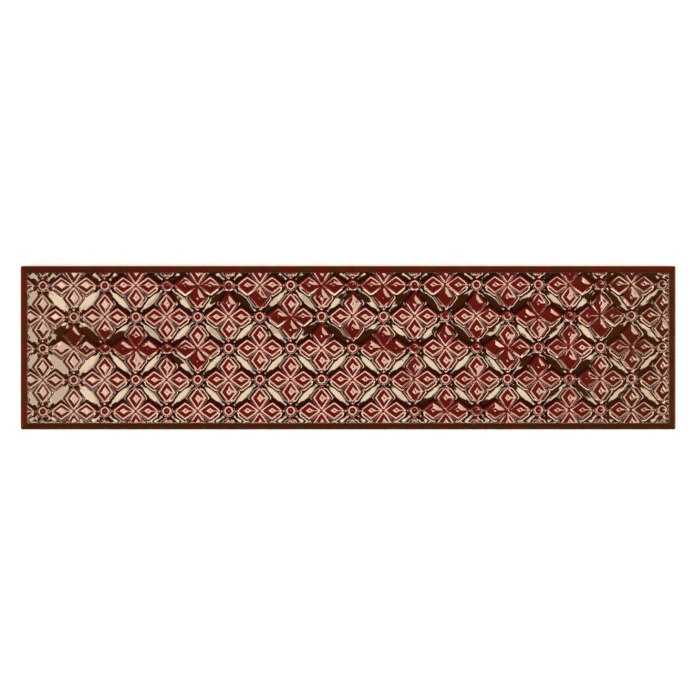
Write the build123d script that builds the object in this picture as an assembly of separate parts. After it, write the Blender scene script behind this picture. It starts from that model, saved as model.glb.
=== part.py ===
# A pressed ceramic wall tile, glazed on its face and moulded with a lattice of four-petalled flowers.
#
# The tile lies on its back. X runs along its length, Y across its width and Z up through the face.
# The origin is the middle of the back, on the plane that the tile rests on.
# Flowers and ring bosses take turns on a square lattice. Each flower has four diamond petals, and
# each petal a raised edge, a trough inside it and a small boss in the middle. The ground between
# the motifs is the low part of the moulded field, and a bevelled rim runs round the field.
# Long low ripples run slantwise across the field, and the motifs rise and fall with them.

from build123d import *

import math
import os

# The blank
tile_length = 300.0
tile_width = 75.0
corner_radius = 0.8
side_height = 6.3  # from the back to the arris
arris = 0.3  # small break between the side and the bevelled rim

# The bevelled rim, and the field that stands inside it
rim_width = 3.0
rim_rise = 0.8
field_step = 0.6  # the field's ground stands this much above the top of the rim
field_draft = 25.0  # degrees, on the field's cut edge

# The lattice: a motif stands on every half pitch, and the field cuts the lattice off-centre
pitch_x = 28.35
pitch_y = 28.75
lattice_shift_x = 2.1
lattice_shift_y = -0.65

# A petal, measured along it from its flower's centre
petal_heel = 0.6
petal_shoulder = 5.75
petal_tip = 10.3
petal_half_width = 3.6
petal_height = 1.1
crest_width = 0.7
petal_wall_run = 1.25  # plan width of the outer wall
trough_depth = 0.3
trough_run = 1.3  # plan width of the wall from the crest down into the trough
boss_height = 0.25  # to its peak, above the trough

# A ring boss, an eight-sided stud with a bowl in its top
ring_sides = 8
ring_radius = 2.0  # to the outer edge of its crest
ring_height = 1.1
ring_wall_run = 1.0
ring_crest_width = 0.7
bowl_depth = 0.35
bowl_run = 0.95  # plan width of the bowl's wall

# The ripples: the middle line of each, from its start to its end, and how high its ridge stands.
# A ridge runs along one side of the middle line and a furrow as deep along the other.
ripples = [
    ((-131.9, 10.5), (-70.1, -1.9), 0.58),
    ((-83.8, 34.7), (28.3, 1.3), 0.52),
    ((-1.4, 33.8), (69.5, 19.6), 0.52),
    ((48.9, 10.5), (115.3, -12.0), 0.52),
    ((97.0, 32.0), (120.8, 23.3), 0.46),
    ((108.0, 11.8), (130.0, 3.6), 0.52),
]
ridge_offset = 5.5  # from the middle line to the top of the ridge
ripple_reach = 11.0  # from the middle line to the ripple's edge
ripple_fade = 12.0  # length over which an end rises from the ground

# The keying pockets pressed into the back
pocket_columns = 16
pocket_rows = 4
pocket_depth = 0.6
pocket_draft = 30.0  # degrees
rib_width = 2.0
back_land = 5.0  # plain band between the tile's edge and the first pockets

# How far a motif or a ridge is sunk into the body below the ground
root = 1.5

rim_foot = side_height + arris
rim_top = rim_foot + rim_rise
ground_height = rim_top + field_step
highest_ridge = max(height for _, _, height in ripples)
crest_height = ground_height + max(petal_height, ring_height) + highest_ridge
field_length = tile_length - 2 * rim_width
field_width = tile_width - 2 * rim_width


def drafted(face, height, run):
    """The face raised to a height, its walls leaning in by the run."""
    return extrude(face, amount=height, taper=math.degrees(math.atan2(run, height)))


def sunk(face, height, depth, run):
    """The hollow that a face at a height leaves when it is pressed in, its walls leaning in."""
    return Pos(0, 0, height) * mirror(drafted(face, depth, run), about=Plane.XY)


def petal_outline(spread):
    """The petal's diamond: the middle of its crest, spread outwards, or inwards if negative."""
    corners = [
        (petal_heel, 0),
        (petal_shoulder, petal_half_width),
        (petal_tip, 0),
        (petal_shoulder, -petal_half_width),
    ]
    return offset(make_face(Polyline(*corners, close=True)), amount=spread, kind=Kind.INTERSECTION)


def petal():
    """One petal along +X, with its foot on the ground at Z 0."""
    foot = petal_outline(crest_width / 2 + petal_wall_run)
    trough = petal_outline(-crest_width / 2)
    trough_floor = petal_height - trough_depth
    boss_foot = Pos(0, 0, trough_floor) * petal_outline(-crest_width / 2 - trough_run)
    boss_peak = Vertex((petal_heel + petal_tip) / 2, 0, trough_floor + boss_height)
    return (
        drafted(foot, petal_height, petal_wall_run)
        + extrude(foot, amount=-root)
        - sunk(trough, petal_height, trough_depth, trough_run)
        + loft([boss_foot, boss_peak])
    )


def ring_outline(spread):
    """The ring boss's outline: the outer edge of its crest, spread outwards or inwards."""
    return RegularPolygon(ring_radius + spread, ring_sides, major_radius=False)


def ring_boss():
    """A ring boss with a bowl in its top, and its foot on the ground at Z 0."""
    foot = ring_outline(ring_wall_run)
    bowl = ring_outline(-ring_crest_width)
    return (
        drafted(foot, ring_height, ring_wall_run)
        + extrude(foot, amount=-root)
        - sunk(bowl, ring_height, bowl_depth, bowl_run)
    )


def blank():
    """The slab with its broken arris and bevelled rim, up to the top of the rim."""
    side = extrude(Rectangle(tile_length, tile_width), amount=side_height)
    edge = drafted(Rectangle(tile_length, tile_width), arris, arris)
    bevel_foot = Rectangle(tile_length - 2 * arris, tile_width - 2 * arris)
    bevel = drafted(bevel_foot, rim_rise, rim_width - arris)
    slab = side + Pos(0, 0, side_height) * edge + Pos(0, 0, rim_foot) * bevel
    rounded = extrude(RectangleRounded(tile_length, tile_width, corner_radius), amount=rim_top)
    return slab & rounded


def field_block(height):
    """The moulded field's block, from the top of the rim up, with its drafted edge."""
    run = height * math.tan(math.radians(field_draft))
    return Pos(0, 0, rim_top) * drafted(Rectangle(field_length, field_width), height, run)


def ridge(length, height):
    """The ridge beside a middle line on X, a low hipped roof, with its block below the ground."""
    near_end = -ripple_fade / 2
    far_end = length + ripple_fade / 2
    eaves = [
        (near_end, -ripple_reach, 0),
        (far_end, -ripple_reach, 0),
        (far_end, 0, 0),
        (near_end, 0, 0),
    ]
    near_top = (ripple_fade / 2, -ridge_offset, height)
    far_top = (length - ripple_fade / 2, -ridge_offset, height)
    outlines = [
        eaves,
        [eaves[0], eaves[1], far_top, near_top],
        [eaves[1], eaves[2], far_top],
        [eaves[2], eaves[3], near_top, far_top],
        [eaves[3], eaves[0], near_top],
    ]
    roof = Solid(Shell([make_face(Polyline(*outline, close=True)) for outline in outlines]))
    return roof + extrude(make_face(Polyline(*eaves, close=True)), amount=-root, dir=(0, 0, 1))


def ripple_pair(start, end, height):
    """A ripple's ridge, and the furrow of the same shape on the other side of its middle line."""
    line = Vector(*end) - Vector(*start)
    place = Pos(*start, ground_height) * Rot(0, 0, math.degrees(math.atan2(line.Y, line.X)))
    one_ridge = ridge(line.length, height)
    return place * one_ridge, place * Rot(180, 0, 0) * one_ridge


def ridge_height(along, beside, length, height):
    """How high a ridge stands at a place beside its middle line."""
    shares = [
        beside / ridge_offset,
        (ripple_reach - beside) / (ripple_reach - ridge_offset),
        (along + ripple_fade / 2) / ripple_fade,
        (length + ripple_fade / 2 - along) / ripple_fade,
    ]
    return height * max(0.0, min(shares))


def rise(x, y):
    """How far the ripples lift a place on the field, or lower it if negative."""
    total = 0.0
    for start, end, height in ripples:
        line = Vector(*end) - Vector(*start)
        offset = Vector(x, y) - Vector(*start)
        along = offset.dot(line.normalized())
        left = line.normalized().cross(offset).Z
        total += ridge_height(along, -left, line.length, height)
        total -= ridge_height(along, left, line.length, height)
    return total


def lattice_points():
    """Each motif's place that can reach the field, and whether a ring boss stands there."""
    step_x = pitch_x / 2
    step_y = pitch_y / 2
    columns = math.ceil((field_length / 2 + abs(lattice_shift_x)) / step_x) + 1
    rows = math.ceil((field_width / 2 + abs(lattice_shift_y)) / step_y) + 1
    for column in range(-columns, columns + 1):
        for row in range(-rows, rows + 1):
            x = lattice_shift_x + column * step_x
            y = lattice_shift_y + row * step_y
            yield x, y, (column + row) % 2 == 0


def trimmed(motif, cutter):
    """The motif, cut by the field's edge where it crosses it, or None if it lies outside."""
    box = motif.bounding_box()
    margin = crest_height * math.tan(math.radians(field_draft))
    inside_x = max(abs(box.min.X), abs(box.max.X)) < field_length / 2 - margin
    inside_y = max(abs(box.min.Y), abs(box.max.Y)) < field_width / 2 - margin
    if inside_x and inside_y:
        return motif
    outside_x = box.min.X > field_length / 2 or box.max.X < -field_length / 2
    outside_y = box.min.Y > field_width / 2 or box.max.Y < -field_width / 2
    if outside_x or outside_y:
        return None
    return motif & cutter


def motifs():
    """Every petal and ring boss of the field, each at the height of the ground under its middle."""
    one_petal = petal()
    one_ring = ring_boss()
    cutter = field_block(crest_height)
    cutter += Pos(0, 0, rim_top - root) * extrude(Rectangle(field_length, field_width), amount=root)
    petal_middle = (petal_heel + petal_tip) / 2
    placed = []
    for x, y, is_ring in lattice_points():
        if is_ring:
            placed.append(Pos(x, y, ground_height + rise(x, y)) * one_ring)
            continue
        for turn in (0, 90, 180, 270):
            middle_x = x + petal_middle * math.cos(math.radians(turn))
            middle_y = y + petal_middle * math.sin(math.radians(turn))
            lift = ground_height + rise(middle_x, middle_y)
            placed.append(Pos(x, y, lift) * Rot(0, 0, turn) * one_petal)
    kept = [trimmed(motif, cutter) for motif in placed]
    return [motif for motif in kept if motif is not None and motif.volume > 0]


def keying_pockets():
    """The shallow pockets that leave a grid of ribs on the back."""
    step_x = (tile_length - 2 * back_land + rib_width) / pocket_columns
    step_y = (tile_width - 2 * back_land + rib_width) / pocket_rows
    run = pocket_depth * math.tan(math.radians(pocket_draft))
    pocket = drafted(Rectangle(step_x - rib_width, step_y - rib_width), pocket_depth, run)
    return [place * pocket for place in GridLocations(step_x, step_y, pocket_columns, pocket_rows)]


def tile():
    """The whole tile, one fired piece."""
    body = blank() + field_block(field_step)
    ridges, furrows = zip(*[ripple_pair(*ripple) for ripple in ripples])
    field = field_block(field_step + highest_ridge)
    body = body.cut(*keying_pockets(), *furrows)
    return body.fuse(*[ridge_block & field for ridge_block in ridges], *motifs())


os.makedirs("parts", exist_ok=True)
export_step(tile(), "parts/tile.step")
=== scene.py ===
import math

import bmesh
import bpy
import numpy as np
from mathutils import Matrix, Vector


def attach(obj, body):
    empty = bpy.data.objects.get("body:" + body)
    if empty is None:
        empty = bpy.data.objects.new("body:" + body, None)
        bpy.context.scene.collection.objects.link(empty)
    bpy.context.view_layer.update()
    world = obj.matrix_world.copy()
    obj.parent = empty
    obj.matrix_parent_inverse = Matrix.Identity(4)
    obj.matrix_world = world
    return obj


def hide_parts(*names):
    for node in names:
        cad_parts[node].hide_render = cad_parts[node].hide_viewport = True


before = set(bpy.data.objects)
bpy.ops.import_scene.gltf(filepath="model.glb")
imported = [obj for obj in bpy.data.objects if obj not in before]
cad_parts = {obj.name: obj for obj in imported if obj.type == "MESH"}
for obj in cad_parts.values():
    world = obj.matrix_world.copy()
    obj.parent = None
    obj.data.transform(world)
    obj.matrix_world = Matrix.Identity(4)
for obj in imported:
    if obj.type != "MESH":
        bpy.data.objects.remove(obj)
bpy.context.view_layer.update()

# The moulded flower
# The tile's face is pressed from a die cut with a lattice of flowers and rings. One cell of the
# lattice is a flower of four diamond petals with a quarter of a ring boss at each of its corners.
# It is drawn as one eighth, from the flower's centre to a ring's centre, and mirrored round.

mm = 0.001
pitch_x = 28.35 * mm
pitch_y = 28.75 * mm
half_pitch = pitch_x / 2

heel = 0.6 * mm
shoulder_along = 5.75 * mm
shoulder_across = 3.6 * mm
tip = 10.3 * mm
# How far the petal's sides turn away from its axis, at its heel and at its tip
heel_angle = math.atan2(shoulder_across, shoulder_along - heel)
tip_angle = math.atan2(shoulder_across, tip - shoulder_along)

# Heights above the ground, by distance outwards from the middle of the petal's crest
petal_profile = [
    (-2.9 * mm, 0.89 * mm),
    (-2.35 * mm, 0.79 * mm),
    (-1.95 * mm, 0.79 * mm),
    (-1.25 * mm, 0.88 * mm),
    (-0.35 * mm, 1.1 * mm),
    (0.33 * mm, 1.1 * mm),
    (1.06 * mm, 0.48 * mm),
    (1.74 * mm, 0.08 * mm),
    (2.3 * mm, 0.0),
    (9.0 * mm, 0.0),
]
crest_level = max(height for _, height in petal_profile)
trough_level = min(height for distance, height in petal_profile if distance < 0)
# Heights above the ground, by distance from the ring boss's centre
ring_profile = [
    (0.0, 0.72 * mm),
    (0.2 * mm, 0.72 * mm),
    (1.4 * mm, 1.1 * mm),
    (2.1 * mm, 1.1 * mm),
    (2.8 * mm, 0.48 * mm),
    (3.4 * mm, 0.13 * mm),
    (3.9 * mm, 0.0),
    (9.0 * mm, 0.0),
]
crest_softness = 0.11 * mm  # how far the glaze rounds the profile's upper corners
foot_softness = 0.12 * mm  # and how far it fills the foot of a wall
foot_begins = 0.55 * mm  # above the ground, where the one passes into the other
corner_softness = 0.12 * mm  # how far it rounds the petal's outline at its four corners
softening_steps = 15
blend_power = 14.0  # where motifs meet, how closely the face keeps to the higher of them
dimple_depth = 0.2 * mm  # the pinprick where four petals meet
dimple_radius = 0.55 * mm

# The rows of the mesh, in millimetres: in the petal and outside it, from the middle of its crest,
# and round the ring boss, from its centre
inner_petal_rows = [-2.62, -2.42, -2.22, -2.0, -1.82, -1.2, -0.47, -0.31, -0.15]
outer_petal_rows = [0.13, 0.29, 0.45, 0.94, 1.16, 1.6, 1.8, 2.2, 2.42]
ring_rows = [4.05, 3.75, 3.5, 3.3, 2.92, 2.68, 2.2, 2.04, 1.9, 1.6, 1.44, 1.28, 0.32, 0.0]
# Where the strips of the mesh that cross those rows start, as shares of the petal's two sides
heel_strips = [0.0, 0.07, 0.3, 0.62, 0.93]
tip_strips = [0.0, 0.07, 0.32, 0.56, 0.78, 0.94, 1.0]
ring_centre = Vector((half_pitch, 0))
ring_reach = ring_rows[0] * mm
least_face = (0.01 * mm) ** 2
cell_weld = 0.01 * mm


def profile_height(profile, distance):
    """The profile's height at each distance, its corners rounded as the glaze rounds them."""
    places, heights = zip(*profile)
    plain = np.interp(distance, places, heights)
    soft = np.interp(plain, [0.0, foot_begins], [foot_softness, crest_softness])
    steps = np.linspace(-1, 1, softening_steps)
    return np.mean([np.interp(distance + soft * step, places, heights) for step in steps], axis=0)


def petal_distance(x, y):
    """How far each point lies outside the middle line of the crest of the petal along +X."""
    sides = []
    for side in (1, -1):
        sides.append((heel - x) * math.sin(heel_angle) + side * y * math.cos(heel_angle))
        sides.append((x - tip) * math.sin(tip_angle) + side * y * math.cos(tip_angle))
    furthest = np.max(sides, axis=0)
    spread = sum(np.exp((side - furthest) / corner_softness) for side in sides)
    return furthest + corner_softness * np.log(spread)


def relief_height(x, y):
    """The height above the ground round a flower's centre: four petals and the nearest rings."""
    parts = []
    for turned_x, turned_y in ((x, y), (y, x), (-x, y), (-y, x)):
        parts.append(profile_height(petal_profile, petal_distance(turned_x, turned_y)))
    for ring_x, ring_y in ((half_pitch, 0.0), (0.0, half_pitch)):
        parts.append(profile_height(ring_profile, np.hypot(x - ring_x, y - ring_y)))
    dimple = dimple_depth * np.maximum(0.0, 1 - np.hypot(x, y) / dimple_radius)
    return sum(part**blend_power for part in parts) ** (1 / blend_power) - dimple


def offset_outline(distance):
    """Heel, shoulder and tip of the half petal's outline, moved outwards."""
    heel_x = heel - distance / math.sin(heel_angle)
    tip_x = tip + distance / math.sin(tip_angle)
    heel_slope = math.tan(heel_angle)
    tip_slope = math.tan(tip_angle)
    shoulder_x = (heel_slope * heel_x + tip_slope * tip_x) / (heel_slope + tip_slope)
    shoulder_y = (shoulder_x - heel_x) * heel_slope
    return Vector((heel_x, 0)), Vector((shoulder_x, shoulder_y)), Vector((tip_x, 0))


def strip_points(distance):
    """Points along the half petal's outline, one for each strip's edge."""
    at_heel, at_shoulder, at_tip = offset_outline(distance)
    points = [at_heel.lerp(at_shoulder, share) for share in heel_strips]
    return points + [at_shoulder.lerp(at_tip, share) for share in tip_strips]


def room_outwards(start, direction):
    """How far a strip's edge may run from the crest before it leaves the eighth or meets the ring."""
    rooms = []
    if direction.y > direction.x:
        rooms.append((start.x - start.y) / (direction.y - direction.x))
    if direction.x + direction.y > 0:
        rooms.append((half_pitch - start.x - start.y) / (direction.x + direction.y))
    away = start - ring_centre
    a = direction.dot(direction)
    b = away.dot(direction)
    c = away.dot(away) - ring_reach**2
    if b < 0 and b * b > a * c:
        rooms.append((-b - math.sqrt(b * b - a * c)) / a)
    return min(rooms)


def plan_area(corners):
    """The area of a flat outline."""
    x, y = corners.T
    return abs(np.dot(x, np.roll(y, 1)) - np.dot(y, np.roll(x, 1))) / 2


def boss_centre_distance():
    """How far inside the crest's middle line the petal's boss has its centre."""
    return (tip - heel) / (1 / math.sin(heel_angle) + 1 / math.sin(tip_angle))


def flat_eighth():
    """Points and faces of one eighth of the cell, flat: the petal and ground strips, and the ring."""
    crest = strip_points(0.0)
    outward = [(far - near) / mm for near, far in zip(crest, strip_points(mm))]
    rooms = [room_outwards(start, way) for start, way in zip(crest, outward)]
    borders = [start + way * room for start, way, room in zip(crest, outward, rooms)]
    corners = (
        Vector((half_pitch / 2, half_pitch / 2)),
        ring_centre + ring_reach * Vector((-1, 1)).normalized(),
    )
    at_middle, first_at_ring = [
        min(range(len(borders)), key=lambda i: (borders[i] - corner).length) for corner in corners
    ]
    on_diagonal = borders[at_middle]
    borders[at_middle] = corners[0]
    borders[first_at_ring] = corners[1]

    inner_rows = [row * mm for row in inner_petal_rows]
    outer_rows = [row * mm for row in outer_petal_rows]
    apex = offset_outline(-boss_centre_distance())[1]
    inner_points = [strip_points(row) for row in inner_rows]
    strips = []
    for i in range(len(crest)):
        points = [Vector((apex.x, 0.0))] + [row[i] for row in inner_points]
        for row in outer_rows + [(outer_rows[-1] + rooms[i]) / 2]:
            points.append(crest[i] + outward[i] * row if row < rooms[i] else borders[i])
        if i == at_middle:
            points[-1] = on_diagonal
        points.append(borders[i])
        strips.append(points)
    for i in range(first_at_ring, len(crest)):
        spoke = (borders[i] - ring_centre) / ring_reach
        strips[i] += [ring_centre + spoke * row * mm for row in ring_rows[1:]]

    places = {}
    faces = []

    def index(point):
        """A point's number, the same for all points within a micrometre of each other."""
        return places.setdefault((round(point.x / mm, 3), round(max(point.y, 0.0) / mm, 3)), len(places))

    for near, far in zip(strips, strips[1:]):
        for k in range(min(len(near), len(far)) - 1):
            ring = []
            for corner in (index(near[k]), index(near[k + 1]), index(far[k + 1]), index(far[k])):
                if corner not in ring:
                    ring.append(corner)
            if len(ring) > 2:
                faces.append(ring)
    points = np.array(list(places)) * mm
    return points, [ring for ring in faces if plan_area(points[ring]) > least_face]


def flower_cell():
    """The whole cell as an object: eight mirrored eighths, raised to their relief."""
    points, faces = flat_eighth()
    heights = relief_height(points[:, 0], points[:, 1])
    bm = bmesh.new()
    relief_layer = bm.verts.layers.float.new("relief")
    hollow_layer = bm.verts.layers.float.new("hollow")
    inside = petal_distance(points[:, 0], points[:, 1]) < 0
    hollows = np.where(inside, crest_level - heights, 0.0)
    for swap in (False, True):
        for side_x in (1, -1):
            for side_y in (1, -1):
                verts = []
                for (x, y), z, hollow in zip(points, heights, hollows):
                    if swap:
                        x, y = y, x
                    vert = bm.verts.new((side_x * x, side_y * y * pitch_y / pitch_x, z))
                    vert[relief_layer] = z / crest_level
                    vert[hollow_layer] = hollow
                    verts.append(vert)
                for face in faces:
                    bm.faces.new([verts[i] for i in face])
    bmesh.ops.remove_doubles(bm, verts=bm.verts, dist=cell_weld)
    bmesh.ops.recalc_face_normals(bm, faces=bm.faces)
    if sum(face.normal.z for face in bm.faces) < 0:
        bmesh.ops.reverse_faces(bm, faces=bm.faces)
    mesh = bpy.data.meshes.new("flower_cell")
    bm.to_mesh(mesh)
    bm.free()
    cell = bpy.data.objects.new("flower_cell", mesh)
    bpy.context.collection.objects.link(cell)
    return cell


cell = flower_cell()

# The pressed face
# The lattice of flowers covers the whole face in one piece with the tile. Long low ripples run
# slantwise under it, as the clay was pressed, and turn a band of each ripple away from the light.
# The flowers are pressed as one, so each is welded to its neighbours.

lattice_shift = Vector((2.1, 0.05)) * mm
lattice_turn = 0.0026  # how far a row drifts across the tile for each unit of its length
ground_height = 7.9 * mm
# Flowers stand in one grid of this size, and between them in a second, one narrower and one taller
flowers_across = 12
flowers_down = 3
weld_distance = 0.01 * mm
ripple_width = 9.0 * mm
ripple_fade = 12 * mm
unevenness = 0.15 * mm  # a faint swell of the whole face
unevenness_scale = 55.0
pool_from = -96 * mm  # towards the left end the glaze gathers in the petals' hollows
pool_to = -124 * mm
pool_in_hollows = 0.06 * mm  # how deep it lies there, above the troughs' floors
pool_on_ground = 0.4 * mm  # and over the ground between the flowers
# Each ripple's middle line, from its start to its end in millimetres, and how steeply it banks
ripples = [
    ((-133.0, 8.7), (-92.0, 2.7), 7),
    ((-133.0, 4.1), (-92.0, -1.9), 7),
    ((-92.0, 0.4), (-64.0, -4.8), 9.5),
    ((-81.0, 27.8), (-38.0, 22.0), 9),
    ((-34.7, 13.4), (30.7, 0.2), 9.5),
    ((-18.7, 27.4), (45.0, 22.8), 8.5),
    ((45.0, 22.8), (102.6, 13.9), 8),
    ((102.6, 28.2), (126.0, 24.2), 8.5),
    ((40.8, 10.8), (69.6, -0.9), 8.5),
    ((69.6, -2.0), (111.7, -10.5), 9.5),
    ((111.0, 11.0), (131.0, 4.5), 9),
    ((28.0, -26.0), (76.0, -28.5), 5),
]


def add_sockets(tree, in_out, sockets):
    """Named sockets on a node group, given as pairs of a name and a kind."""
    for name, kind in sockets:
        tree.interface.new_socket(name, in_out=in_out, socket_type="NodeSocket" + kind)


def add_node(tree, kind, inputs=None, **settings):
    """A node with its settings made and its inputs set or linked."""
    node = tree.nodes.new(kind)
    for name, value in settings.items():
        setattr(node, name, value)
    for key, value in (inputs or {}).items():
        if isinstance(value, bpy.types.NodeSocket):
            tree.links.new(value, node.inputs[key])
        else:
            node.inputs[key].default_value = value
    return node


def maths(tree, operation, *values):
    """The result of a Math node."""
    return add_node(tree, "ShaderNodeMath", dict(enumerate(values)), operation=operation).outputs[0]


def vector_maths(tree, operation, *values):
    """A Vector Math node, for the output that its operation gives."""
    return add_node(tree, "ShaderNodeVectorMath", dict(enumerate(values)), operation=operation).outputs


def ripple_group():
    """The rise of the face at a place beside one ripple: a ridge, a bank and a furrow."""
    tree = bpy.data.node_groups.new("ripple", "GeometryNodeTree")
    add_sockets(
        tree,
        "INPUT",
        [("Start", "Vector"), ("End", "Vector"), ("Bank", "Float"), ("Width", "Float"), ("Fade", "Float")],
    )
    add_sockets(tree, "OUTPUT", [("Rise", "Float")])
    given = tree.nodes.new("NodeGroupInput").outputs
    place = add_node(tree, "GeometryNodeInputPosition").outputs[0]
    reach = vector_maths(tree, "SUBTRACT", given["End"], given["Start"])["Vector"]
    direction = vector_maths(tree, "NORMALIZE", reach)["Vector"]
    sideways = vector_maths(tree, "CROSS_PRODUCT", (0, 0, 1), direction)["Vector"]
    offset = vector_maths(tree, "SUBTRACT", place, given["Start"])["Vector"]
    along = vector_maths(tree, "DOT_PRODUCT", offset, direction)["Value"]
    across = vector_maths(tree, "DOT_PRODUCT", offset, sideways)["Value"]
    length = vector_maths(tree, "LENGTH", reach)["Value"]
    half_fade = maths(tree, "MULTIPLY", given["Fade"], 0.5)
    ends = []
    for distance in (along, maths(tree, "SUBTRACT", length, along)):
        ends.append(
            add_node(
                tree,
                "ShaderNodeMapRange",
                {
                    "Value": distance,
                    "From Min": maths(tree, "MULTIPLY", half_fade, -1.0),
                    "From Max": half_fade,
                },
                interpolation_type="SMOOTHSTEP",
            ).outputs["Result"]
        )
    share = maths(tree, "DIVIDE", across, given["Width"])
    spread = maths(tree, "ADD", maths(tree, "MULTIPLY", share, share), 1.0)
    slope = maths(tree, "MULTIPLY", maths(tree, "TANGENT", given["Bank"]), -1.0)
    rise = maths(tree, "DIVIDE", maths(tree, "MULTIPLY", slope, across), maths(tree, "POWER", spread, 2.0))
    for end in ends:
        rise = maths(tree, "MULTIPLY", rise, end)
    add_node(tree, "NodeGroupOutput", {"Rise": rise})
    return tree


def lattice_tree():
    """Sets the flower out over the face, welds the flowers together and lifts the ripples."""
    tree = bpy.data.node_groups.new("flower lattice", "GeometryNodeTree")
    add_sockets(
        tree,
        "INPUT",
        [
            ("Flower", "Geometry"),
            ("Pitch X", "Float"),
            ("Pitch Y", "Float"),
            ("Shift", "Vector"),
            ("Flowers across", "Int"),
            ("Flowers down", "Int"),
            ("Ground height", "Float"),
            ("Ripple width", "Float"),
            ("Ripple fade", "Float"),
            ("Unevenness", "Float"),
            ("Unevenness scale", "Float"),
            ("Pool from", "Float"),
            ("Pool to", "Float"),
            ("Pool in hollows", "Float"),
            ("Pool on ground", "Float"),
            ("Crest height", "Float"),
            ("Trough depth", "Float"),
            ("Lattice turn", "Float"),
            ("Weld distance", "Float"),
            ("Glaze", "Material"),
        ],
    )
    add_sockets(tree, "OUTPUT", [("Face", "Geometry")])
    given = tree.nodes.new("NodeGroupInput").outputs
    places = []
    for extra in (0, 1):
        across = maths(tree, "SUBTRACT", given["Flowers across"], extra)
        down = maths(tree, "ADD", given["Flowers down"], extra)
        grid = add_node(
            tree,
            "GeometryNodeMeshGrid",
            {
                "Size X": maths(tree, "MULTIPLY", maths(tree, "SUBTRACT", across, 1), given["Pitch X"]),
                "Size Y": maths(tree, "MULTIPLY", maths(tree, "SUBTRACT", down, 1), given["Pitch Y"]),
                "Vertices X": across,
                "Vertices Y": down,
            },
        )
        places.append(grid.outputs["Mesh"])
    joined = add_node(tree, "GeometryNodeJoinGeometry")
    for grid_mesh in places:
        tree.links.new(grid_mesh, joined.inputs[0])
    shifted = add_node(
        tree, "GeometryNodeSetPosition", {"Geometry": joined.outputs[0], "Offset": given["Shift"]}
    )
    flowers = add_node(
        tree, "GeometryNodeInstanceOnPoints", {"Points": shifted.outputs[0], "Instance": given["Flower"]}
    )
    realized = add_node(tree, "GeometryNodeRealizeInstances", {"Geometry": flowers.outputs[0]})
    welded = add_node(
        tree,
        "GeometryNodeMergeByDistance",
        {"Geometry": realized.outputs[0], "Distance": given["Weld distance"]},
    )
    rise = given["Ground height"]
    one_ripple = ripple_group()
    for start, end, bank in ripples:
        ripple = add_node(
            tree,
            "GeometryNodeGroup",
            {
                "Start": Vector((*start, 0)) * mm,
                "End": Vector((*end, 0)) * mm,
                "Bank": math.radians(bank),
                "Width": given["Ripple width"],
                "Fade": given["Ripple fade"],
            },
            node_tree=one_ripple,
        )
        rise = maths(tree, "ADD", rise, ripple.outputs["Rise"])
    place = add_node(tree, "GeometryNodeInputPosition").outputs[0]
    flat_place = vector_maths(tree, "MULTIPLY", place, (1, 1, 0))["Vector"]
    noise = add_node(
        tree,
        "ShaderNodeTexNoise",
        {"Vector": flat_place, "Scale": given["Unevenness scale"], "Detail": 1.0, "Roughness": 0.3},
    )
    swell = maths(tree, "MULTIPLY", maths(tree, "SUBTRACT", noise.outputs["Fac"], 0.5), given["Unevenness"])
    rise = maths(tree, "ADD", rise, swell)
    x = add_node(tree, "ShaderNodeSeparateXYZ", {"Vector": place}).outputs["X"]
    pooled = add_node(
        tree,
        "ShaderNodeMapRange",
        {"Value": x, "From Min": given["Pool from"], "From Max": given["Pool to"]},
        interpolation_type="SMOOTHSTEP",
    )
    hollow = add_node(tree, "GeometryNodeInputNamedAttribute", {"Name": "hollow"}, data_type="FLOAT")
    relief = add_node(tree, "GeometryNodeInputNamedAttribute", {"Name": "relief"}, data_type="FLOAT")
    dry_hollow = maths(tree, "SUBTRACT", given["Trough depth"], given["Pool in hollows"])
    hollow_pool = maths(tree, "SUBTRACT", hollow.outputs["Attribute"], dry_hollow)
    stands = maths(tree, "MULTIPLY", relief.outputs["Attribute"], given["Crest height"])
    ground_pool = maths(tree, "SUBTRACT", given["Pool on ground"], stands)
    pool = maths(tree, "MAXIMUM", maths(tree, "MAXIMUM", hollow_pool, ground_pool), 0.0)
    rise = maths(tree, "ADD", rise, maths(tree, "MULTIPLY", pool, pooled.outputs["Result"]))
    turned = maths(tree, "MULTIPLY", x, given["Lattice turn"])
    lift = add_node(tree, "ShaderNodeCombineXYZ", {"Y": turned, "Z": rise})
    lifted = add_node(
        tree, "GeometryNodeSetPosition", {"Geometry": welded.outputs[0], "Offset": lift.outputs[0]}
    )
    glazed = add_node(
        tree, "GeometryNodeSetMaterial", {"Geometry": lifted.outputs[0], "Material": given["Glaze"]}
    )
    add_node(tree, "NodeGroupOutput", {"Face": glazed.outputs[0]})
    return tree


def run_nodes(piece, tree, values):
    """The piece's geometry as its node tree makes it, as a plain mesh."""
    modifier = piece.modifiers.new(tree.name, "NODES")
    modifier.node_group = tree
    for socket in tree.interface.items_tree:
        if socket.item_type == "SOCKET" and socket.in_out == "INPUT" and socket.name in values:
            modifier[socket.identifier] = values[socket.name]
    bpy.context.view_layer.update()
    evaluated = piece.evaluated_get(bpy.context.evaluated_depsgraph_get())
    mesh = bpy.data.meshes.new_from_object(evaluated)
    piece.modifiers.clear()
    return mesh


# The glaze
# A deep oxblood glaze, clear enough to run: it lies red on the petals and brown on the ground
# between them. Low on the walls it is painted almost black, partly as painted shade in the creases
# and partly where it is thickest. It is fired to a wet shine, faintly rippled on its surface.

# Its colour by height, from the ground at 0 to the crests at 1; the near-black stops low on the walls are
# partly painted shade, partly thick glaze
tones_and_crease_shade_by_relief = [
    (0.0, (0.031, 0.0072, 0.0012)),
    (0.1, (0.03, 0.004, 0.001)),
    (0.22, (0.011, 0.0009, 0.0004)),
    (0.36, (0.013, 0.0008, 0.0004)),
    (0.5, (0.03, 0.0016, 0.001)),
    (0.72, (0.086, 0.0046, 0.0028)),
    (1.0, (0.104, 0.0058, 0.0034)),
]
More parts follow.
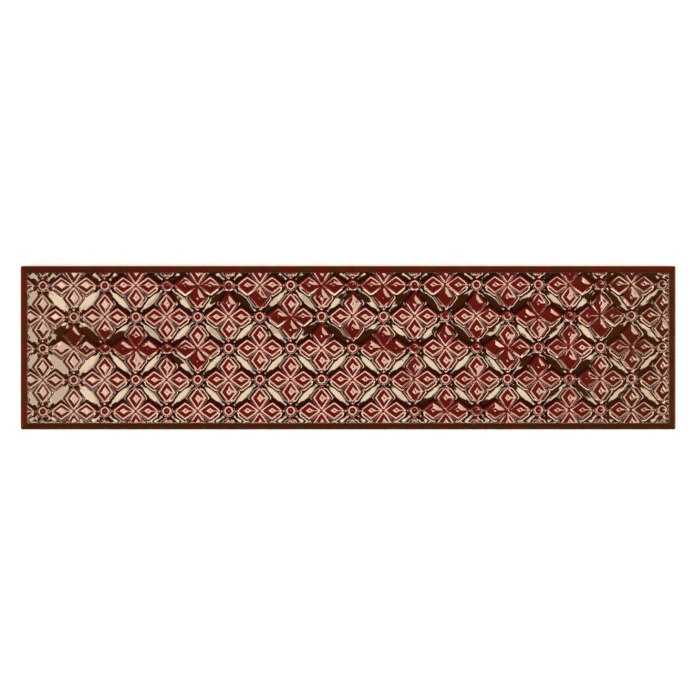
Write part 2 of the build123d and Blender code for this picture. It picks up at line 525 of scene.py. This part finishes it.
# Its colour on the rim, from darkest to reddest; where it lies between them is painted light, with random
# patches
rim_tones_by_painted_light = [
    (0.1, (0.034, 0.0078, 0.0014)),
    (0.6, (0.068, 0.0145, 0.0022)),
    (1.0, (0.115, 0.009, 0.0035)),
]
# The tint of the light that it mirrors, by height again: warm, and palest low on the walls
sheen_by_relief = [
    (0.0, (0.9, 0.76, 0.6)),
    (0.25, (1.0, 0.84, 0.7)),
    (1.0, (1.0, 0.79, 0.66)),
]
browner_from = 95 * mm  # from the middle of the tile towards either end the glaze turns browner
browner_to = 135 * mm
most_brown = 0.6
rim_begins = 0.05  # the least painted light on the rim that stands for the rim itself


def colour_ramp(tree, factor, stops):
    """The colours between the stops, each a place from 0 to 1 and its tone."""
    ramp = add_node(tree, "ShaderNodeValToRGB", {"Fac": factor})
    elements = ramp.color_ramp.elements
    for element, (place, tone) in ((elements[0], stops[0]), (elements[1], stops[-1])):
        element.position = place
        element.color = (*tone, 1)
    for place, tone in stops[1:-1]:
        elements.new(place).color = (*tone, 1)
    return ramp.outputs["Color"]


glaze = bpy.data.materials.new("oxblood_glaze")
glaze.use_nodes = True
glaze_nodes = glaze.node_tree
glaze_shader = glaze_nodes.nodes["Principled BSDF"]
relief_value = add_node(glaze_nodes, "ShaderNodeAttribute", attribute_name="relief").outputs["Fac"]
object_place = add_node(glaze_nodes, "ShaderNodeTexCoord").outputs["Object"]
peel = add_node(glaze_nodes, "ShaderNodeTexNoise", {"Vector": object_place, "Scale": 420.0, "Detail": 2.0})
peel_bump = add_node(
    glaze_nodes, "ShaderNodeBump", {"Height": peel.outputs["Fac"], "Strength": 0.25, "Distance": 0.05 * mm}
)
# The rim's painted light, read from the mesh
rim_value = add_node(glaze_nodes, "ShaderNodeAttribute", attribute_name="rim_painted_light").outputs["Fac"]
patches = add_node(glaze_nodes, "ShaderNodeTexNoise", {"Vector": object_place, "Scale": 160.0, "Detail": 3.0})
patchy = maths(glaze_nodes, "MULTIPLY", maths(glaze_nodes, "ADD", patches.outputs["Fac"], 0.5), rim_value)
tile_x = add_node(glaze_nodes, "ShaderNodeSeparateXYZ", {"Vector": object_place}).outputs["X"]
towards_end = add_node(
    glaze_nodes,
    "ShaderNodeMapRange",
    {
        "Value": maths(glaze_nodes, "ABSOLUTE", tile_x),
        "From Min": browner_from,
        "From Max": browner_to,
        "To Max": most_brown,
    },
    interpolation_type="SMOOTHSTEP",
)
# The field's colour, with painted shade in the creases low on the walls
field_glaze = add_node(
    glaze_nodes,
    "ShaderNodeMixRGB",
    {
        "Fac": towards_end.outputs["Result"],
        "Color1": colour_ramp(glaze_nodes, relief_value, tones_and_crease_shade_by_relief),
        "Color2": (0.046, 0.0112, 0.002, 1),
    },
)
glaze_tone = add_node(
    glaze_nodes,
    "ShaderNodeMixRGB",
    {
        "Fac": maths(glaze_nodes, "GREATER_THAN", rim_value, rim_begins),
        "Color1": field_glaze.outputs["Color"],
        "Color2": colour_ramp(glaze_nodes, patchy, rim_tones_by_painted_light),
    },
)
glaze_nodes.links.new(glaze_tone.outputs["Color"], glaze_shader.inputs["Base Color"])
glaze_nodes.links.new(peel_bump.outputs["Normal"], glaze_shader.inputs["Normal"])
glaze_shader.inputs["Roughness"].default_value = 0.04
glaze_shader.inputs["IOR"].default_value = 1.8
sheen = colour_ramp(glaze_nodes, relief_value, sheen_by_relief)
glaze_nodes.links.new(sheen, glaze_shader.inputs["Specular Tint"])

# The tile's body
# One press-moulded, once-fired piece of buff earthenware. A narrow rim slopes away round the
# face, the sides are glazed part of the way down, and the back keeps a grid of keying pockets.

tile_length = 300 * mm
tile_width = 75 * mm
rim_width = 3.0 * mm
rim_top = 7.4 * mm
rim_foot = 6.6 * mm
arris = 0.3 * mm
corner_radius = 0.8 * mm
face_roll = 0.2 * mm
roll_rows = [0.04 * mm, face_roll]  # where the rolled edge has points, in from the field's edge
cut_tolerance = 0.0001 * mm
# Painted light on the rim: it is painted redder and lighter on its upper and left sides, as if lit from the
# upper left, and darker on its lower and right ones
end_painted_light = (0.85, 0.42)  # left and right
edge_painted_light = (0.08, 0.8)  # lower and upper
motif_redness = 0.3  # how much redder the rim is painted beside each row of the lattice
field_margin = 0.1 * mm  # past the field's edge, where the rim's glaze begins

field_half_length = tile_length / 2 - rim_width
field_half_width = tile_width / 2 - rim_width
face_mesh = run_nodes(
    cell,
    lattice_tree(),
    {
        "Pitch X": pitch_x,
        "Pitch Y": pitch_y,
        "Shift": Vector((*lattice_shift, 0)),
        "Flowers across": flowers_across,
        "Flowers down": flowers_down,
        "Ground height": ground_height,
        "Ripple width": ripple_width,
        "Ripple fade": ripple_fade,
        "Unevenness": unevenness,
        "Unevenness scale": unevenness_scale,
        "Pool from": pool_from,
        "Pool to": pool_to,
        "Pool in hollows": pool_in_hollows,
        "Pool on ground": pool_on_ground,
        "Crest height": crest_level,
        "Trough depth": crest_level - trough_level,
        "Lattice turn": lattice_turn,
        "Weld distance": weld_distance,
        "Glaze": glaze,
    },
)
bpy.data.objects.remove(cell)


def trimmed_face(mesh):
    """The face cut to the field inside the rim, with its edge rolled over down to the rim."""
    bm = bmesh.new()
    bm.from_mesh(mesh)
    for axis, half in ((0, field_half_length), (1, field_half_width)):
        for side in (1, -1):
            for inset in [0.0] + roll_rows:
                limit = half - inset
                reach = limit * side
                near = [face for face in bm.faces if any(v.co[axis] * side > limit for v in face.verts)]
                geometry = set(near)
                for face in near:
                    geometry.update(face.edges)
                    geometry.update(face.verts)
                bmesh.ops.bisect_plane(
                    bm,
                    geom=list(geometry),
                    plane_co=[reach if i == axis else 0 for i in range(3)],
                    plane_no=[side if i == axis else 0 for i in range(3)],
                    dist=cut_tolerance,
                    clear_outer=inset == 0.0,
                )
    for vert in bm.verts:
        x, y, z = vert.co
        depth = min(field_half_length - abs(x), field_half_width - abs(y))
        if depth < face_roll:
            share = math.sqrt(max(0.0, 1 - (1 - max(depth, 0.0) / face_roll) ** 2))
            vert.co.z = rim_top + (z - rim_top) * share
    return bm


def edge_place(vert, half_length, half_width):
    """How far round the tile a point of a loop lies, as an angle with its corners at 45 degrees."""
    return math.atan2(vert.co.y / half_width, vert.co.x / half_length)


def half_sizes(loop):
    """Half the length and half the width that a loop reaches."""
    return max(vert.co.x for vert in loop), max(vert.co.y for vert in loop)


def in_order(loop):
    """A loop's points in order round the tile."""
    half_length, half_width = half_sizes(loop)
    return sorted(loop, key=lambda vert: edge_place(vert, half_length, half_width))


def join_loops(bm, inner, outer):
    """A band of triangles between two loops that may differ in their number of points."""
    faces = []
    places = []
    for loop in (inner, outer):
        half_length, half_width = half_sizes(loop)
        turns = [edge_place(vert, half_length, half_width) for vert in loop]
        places.append(turns + [turns[0] + 2 * math.pi])
    i = 0
    j = 0
    while i < len(inner) or j < len(outer):
        take_inner = j >= len(outer) or (i < len(inner) and places[0][i + 1] < places[1][j + 1])
        a = inner[i % len(inner)]
        b = outer[j % len(outer)]
        if take_inner:
            i += 1
            c = inner[i % len(inner)]
        else:
            j += 1
            c = outer[j % len(outer)]
        faces.append(bm.faces.new((a, b, c)))
    return faces


def widened_loop(bm, loop, distance, height):
    """A copy of the face's fine border, moved outwards."""
    half_length, half_width = half_sizes(loop)
    along = (half_length + distance) / half_length
    across = (half_width + distance) / half_width
    return [bm.verts.new((vert.co.x * along, vert.co.y * across, height)) for vert in loop]


least_radius = 0.3 * mm
loop_step = 4 * mm
corner_steps = 4


def edge_loop(bm, inset, height, uneven=0.0):
    """A loop round the tile's outer edge, with its corners rounded."""
    half_length = tile_length / 2 - inset
    half_width = tile_width / 2 - inset
    radius = max(corner_radius - inset, least_radius)
    loop = []
    for turn in range(4):
        middle = math.radians(90 * turn)
        away = (half_length, half_width) if turn % 2 == 0 else (half_width, half_length)
        straight = away[1] - radius
        count = round(2 * straight / loop_step)
        points = [(away[0], -straight + 2 * straight * i / count) for i in range(count + 1)]
        for step in range(1, corner_steps):
            bend = math.radians(90 / corner_steps * step)
            centre_along = away[0] - radius
            points.append((centre_along + radius * math.cos(bend), straight + radius * math.sin(bend)))
        for out, along in points:
            x = out * math.cos(middle) - along * math.sin(middle)
            y = out * math.sin(middle) + along * math.cos(middle)
            long_wave = math.sin(x / (7 * mm) + 2 * y / mm)
            short_wave = math.sin(x / (2.9 * mm) + y / (4 * mm))
            wander = uneven * (long_wave + 0.6 * short_wave)
            loop.append(bm.verts.new((x, y, height + wander)))
    return in_order(loop)


pocket_columns = 16
pocket_rows = 4
pocket_depth = 0.6 * mm
pocket_draft = math.radians(30)
rib_width = 2.0 * mm
back_land = 5.0 * mm


def back_faces(bm, border):
    """The back's ribs and keying pockets, joined to the loop round its edge."""
    inner_length = tile_length - 2 * back_land
    inner_width = tile_width - 2 * back_land
    pocket_length = (inner_length - (pocket_columns - 1) * rib_width) / pocket_columns
    pocket_width = (inner_width - (pocket_rows - 1) * rib_width) / pocket_rows
    lines_x = []
    for column in range(pocket_columns):
        start = -inner_length / 2 + column * (pocket_length + rib_width)
        lines_x += [start, start + pocket_length]
    lines_y = []
    for row in range(pocket_rows):
        start = -inner_width / 2 + row * (pocket_width + rib_width)
        lines_y += [start, start + pocket_width]
    grid = [[bm.verts.new((x, y, 0.0)) for y in lines_y] for x in lines_x]
    draw_in = pocket_depth * math.tan(pocket_draft)
    faces = []
    for i in range(len(lines_x) - 1):
        for j in range(len(lines_y) - 1):
            rim = [grid[i][j], grid[i][j + 1], grid[i + 1][j + 1], grid[i + 1][j]]
            if i % 2 or j % 2:
                faces.append(bm.faces.new(rim))
                continue
            centre = sum((vert.co for vert in rim), Vector()) / 4
            floor = []
            for vert in rim:
                x = vert.co.x - math.copysign(draw_in, vert.co.x - centre.x)
                y = vert.co.y - math.copysign(draw_in, vert.co.y - centre.y)
                floor.append(bm.verts.new((x, y, pocket_depth)))
            faces.append(bm.faces.new(floor))
            for k in range(4):
                faces.append(bm.faces.new((rim[k], rim[k - 1], floor[k - 1], floor[k])))
    outline = [grid[i][j] for i in range(len(lines_x)) for j in range(len(lines_y))]
    edge = [v for v in outline if any(e.is_boundary for e in v.link_edges)]
    faces += join_loops(bm, border, in_order(edge))
    return faces


# The loops from the field's edge round to the back, in millimetres. Those of the crease are given
# by their distance from the field's edge, and those low on the rim by their inset from the side.
crease_steps = [0.03, 0.2]
rim_insets = [0.8, 0.45, 0.34]
# The others are given by their inset and their drop below the rim's foot, or else their height
arris_rounding = [(0.29, 0.015), (0.1, 0.17), (0.03, 0.27), (0.0, 0.4), (0.0, 0.8)]
glaze_lip = [(0.0, 3.4), (0.08, 3.15)]
biscuit_top = (0.18, 2.9)
back_edge = [(0.18, 0.5), (0.3, 0.15), (0.6, 0.0)]
lip_waver = 0.35 * mm

bm = trimmed_face(face_mesh)
face_border = in_order([vert for vert in bm.verts if any(edge.is_boundary for edge in vert.link_edges)])
rim_slope = (rim_top - rim_foot) / (rim_width - arris)
loops = [face_border]
for step in crease_steps:
    distance = step * mm
    loops.append(widened_loop(bm, face_border, distance, rim_top - distance * rim_slope))
for inset in rim_insets:
    loops.append(edge_loop(bm, inset * mm, rim_foot + (inset * mm - arris) * rim_slope))
for inset, drop in arris_rounding:
    loops.append(edge_loop(bm, inset * mm, rim_foot - drop * mm))
for inset, height in glaze_lip + [biscuit_top]:
    loops.append(edge_loop(bm, inset * mm, height * mm, uneven=lip_waver))
biscuit_from = len(loops) - 1
for inset, height in back_edge:
    loops.append(edge_loop(bm, inset * mm, height * mm))
biscuit_faces = []
for k in range(1, len(loops)):
    band = join_loops(bm, loops[k - 1], loops[k])
    if k > biscuit_from:
        biscuit_faces += band
biscuit_faces += back_faces(bm, loops[-1])
# The rim's painted light: lighter towards the upper left, and redder beside each row of the lattice
rim_light_layer = bm.verts.layers.float.new("rim_painted_light")
for vert in bm.verts:
    x, y, z = vert.co
    beyond_x = abs(x) - field_half_length
    beyond_y = abs(y) - field_half_width
    if max(beyond_x, beyond_y) > field_margin:
        at_end = beyond_x > beyond_y
        lower, upper = end_painted_light if at_end else edge_painted_light
        along = (y - lattice_shift.y) / pitch_y if at_end else (x - lattice_shift.x) / pitch_x
        over_motif = math.cos(4 * math.pi * along) * motif_redness
        vert[rim_light_layer] = (lower if (x if at_end else y) < 0 else upper) * (1 + over_motif)
for face in bm.faces:
    face.smooth = True
    face.material_index = 0
for face in biscuit_faces:
    face.material_index = 1
bmesh.ops.recalc_face_normals(bm, faces=bm.faces)

body_mesh = bpy.data.meshes.new("tile_body")
bm.to_mesh(body_mesh)
bm.free()

biscuit = bpy.data.materials.new("buff_biscuit")
biscuit.use_nodes = True
biscuit_nodes = biscuit.node_tree
biscuit_shader = biscuit_nodes.nodes["Principled BSDF"]
biscuit_place = add_node(biscuit_nodes, "ShaderNodeTexCoord").outputs["Object"]
mottle = add_node(
    biscuit_nodes, "ShaderNodeTexNoise", {"Vector": biscuit_place, "Scale": 90.0, "Detail": 6.0}
)
biscuit_tones = [(0.3, (0.42, 0.25, 0.15)), (0.7, (0.56, 0.37, 0.24))]
biscuit_tone = colour_ramp(biscuit_nodes, mottle.outputs["Fac"], biscuit_tones)
grit = add_node(
    biscuit_nodes, "ShaderNodeTexNoise", {"Vector": biscuit_place, "Scale": 2200.0, "Detail": 4.0}
)
grit_bump = add_node(
    biscuit_nodes, "ShaderNodeBump", {"Height": grit.outputs["Fac"], "Strength": 0.5, "Distance": 0.15 * mm}
)
biscuit_nodes.links.new(biscuit_tone, biscuit_shader.inputs["Base Color"])
biscuit_nodes.links.new(grit_bump.outputs["Normal"], biscuit_shader.inputs["Normal"])
biscuit_shader.inputs["Roughness"].default_value = 0.85

body_mesh.materials.append(glaze)
body_mesh.materials.append(biscuit)
tile_body = bpy.data.objects.new("tile_body", body_mesh)
bpy.context.collection.objects.link(tile_body)
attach(tile_body, "root")
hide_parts("tile")

# The table and the light
# The tile lies on a white table under one long overhead softbox. Low strip lights stand on its
# left, its right and in front of it, and the room beyond them is dark. Nothing here belongs to
# the tile.

table_width = 8.0
table_gap = 0.05 * mm  # keeps the table's surface clear of the ribs on the tile's back
table_glow = 0.35  # lifts the table to plain white, for the camera alone
bpy.ops.mesh.primitive_plane_add(size=table_width, location=(0, 0, -table_gap))
table = bpy.context.object
table.name = "table"
white = bpy.data.materials.new("white_table")
white.use_nodes = True
white_nodes = white.node_tree
white_shader = white_nodes.nodes["Principled BSDF"]
white_shader.inputs["Base Color"].default_value = (0.9, 0.9, 0.9, 1)
white_shader.inputs["Roughness"].default_value = 0.9
white_shader.inputs["Specular IOR Level"].default_value = 0.1
camera_ray = add_node(white_nodes, "ShaderNodeLightPath").outputs["Is Camera Ray"]
white_shader.inputs["Emission Color"].default_value = (1, 1, 1, 1)
glow = maths(white_nodes, "MULTIPLY", camera_ray, table_glow)
white_nodes.links.new(glow, white_shader.inputs["Emission Strength"])
table.data.materials.append(white)

light_warmth = (1.0, 0.92, 0.82)


def softbox(name, centre, size_x, size_y, radiance):
    """A rectangular lamp that faces the tile and that the camera doesn't see."""
    lamp = bpy.data.lights.new(name, "AREA")
    lamp.shape = "RECTANGLE"
    lamp.size = size_x
    lamp.size_y = size_y
    lamp.energy = radiance * math.pi * size_x * size_y
    lamp.color = light_warmth
    holder = bpy.data.objects.new(name, lamp)
    holder.location = centre
    holder.rotation_euler = (-Vector(centre)).to_track_quat("-Z", "Y").to_euler()
    holder.visible_camera = False
    bpy.context.collection.objects.link(holder)
    return holder


overhead_height = 2.0
# The overhead softbox narrows from left to right, in three panels. Each is given by its left,
# right, front and back edges in metres, and its radiance.
overhead_panels = [
    (-0.8, -0.2, -0.42, 0.3, 6.8),
    (-0.2, 0.1, -0.42, 0.09, 10.5),
    (0.1, 0.36, -0.12, 0.05, 8.5),
]
for number, (left, right, front, back, radiance) in enumerate(overhead_panels):
    middle = ((left + right) / 2, (front + back) / 2, overhead_height)
    panel = softbox(f"overhead_{number + 1}", middle, right - left, back - front, radiance)
    panel.rotation_euler = (0, 0, 0)
side_distance = 1.3
side_zenith = math.radians(52)
side_size = (1.7, 0.24)
for name, side, radiance in (("left_light", -1, 5.0), ("right_light", 1, 10.5)):
    out = side * side_distance * math.sin(side_zenith)
    softbox(name, (out, 0.0, side_distance * math.cos(side_zenith)), *side_size, radiance)
front_place = (0.0, -1.15, 0.8)
front_size = (2.8, 0.26)
softbox("front_light", front_place, *front_size, 12.0)

# The camera sees a white room, but the glaze mirrors it white only close to the horizon
white_below = 0.07  # the upward part of a direction, up to which it is mirrored white
room_strength = 0.04
world = bpy.data.worlds.new("studio")
world.use_nodes = True
bpy.context.scene.world = world
world_nodes = world.node_tree
background = world_nodes.nodes["Background"]
background.inputs["Color"].default_value = (1, 1, 1, 1)
rays = add_node(world_nodes, "ShaderNodeLightPath").outputs
mirrored = maths(world_nodes, "MAXIMUM", rays["Is Glossy Ray"], rays["Is Transmission Ray"])
direction = add_node(world_nodes, "ShaderNodeTexCoord").outputs["Generated"]
upwards = add_node(world_nodes, "ShaderNodeSeparateXYZ", {"Vector": direction}).outputs["Z"]
low = maths(world_nodes, "LESS_THAN", upwards, white_below)
seen = maths(world_nodes, "MAXIMUM", rays["Is Camera Ray"], maths(world_nodes, "MULTIPLY", mirrored, low))
strength = maths(world_nodes, "MAXIMUM", seen, room_strength)
world_nodes.links.new(strength, background.inputs["Strength"])

# The camera
# It looks straight down on the tile from well above, so the sides don't show. The tile fills
# most of the picture's width, a touch off its middle.

frame_width = 318.5 * mm
aim_x = -0.05 * mm
aim_y = -0.07 * mm
camera_data = bpy.data.cameras.new("camera")
camera_data.lens = 300
camera_data.sensor_width = 36
camera = bpy.data.objects.new("camera", camera_data)
camera_height = frame_width * camera_data.lens / camera_data.sensor_width
camera.location = (aim_x, aim_y, ground_height + camera_height)
bpy.context.collection.objects.link(camera)
bpy.context.scene.camera = camera
bpy.context.scene.view_settings.view_transform = "Standard"
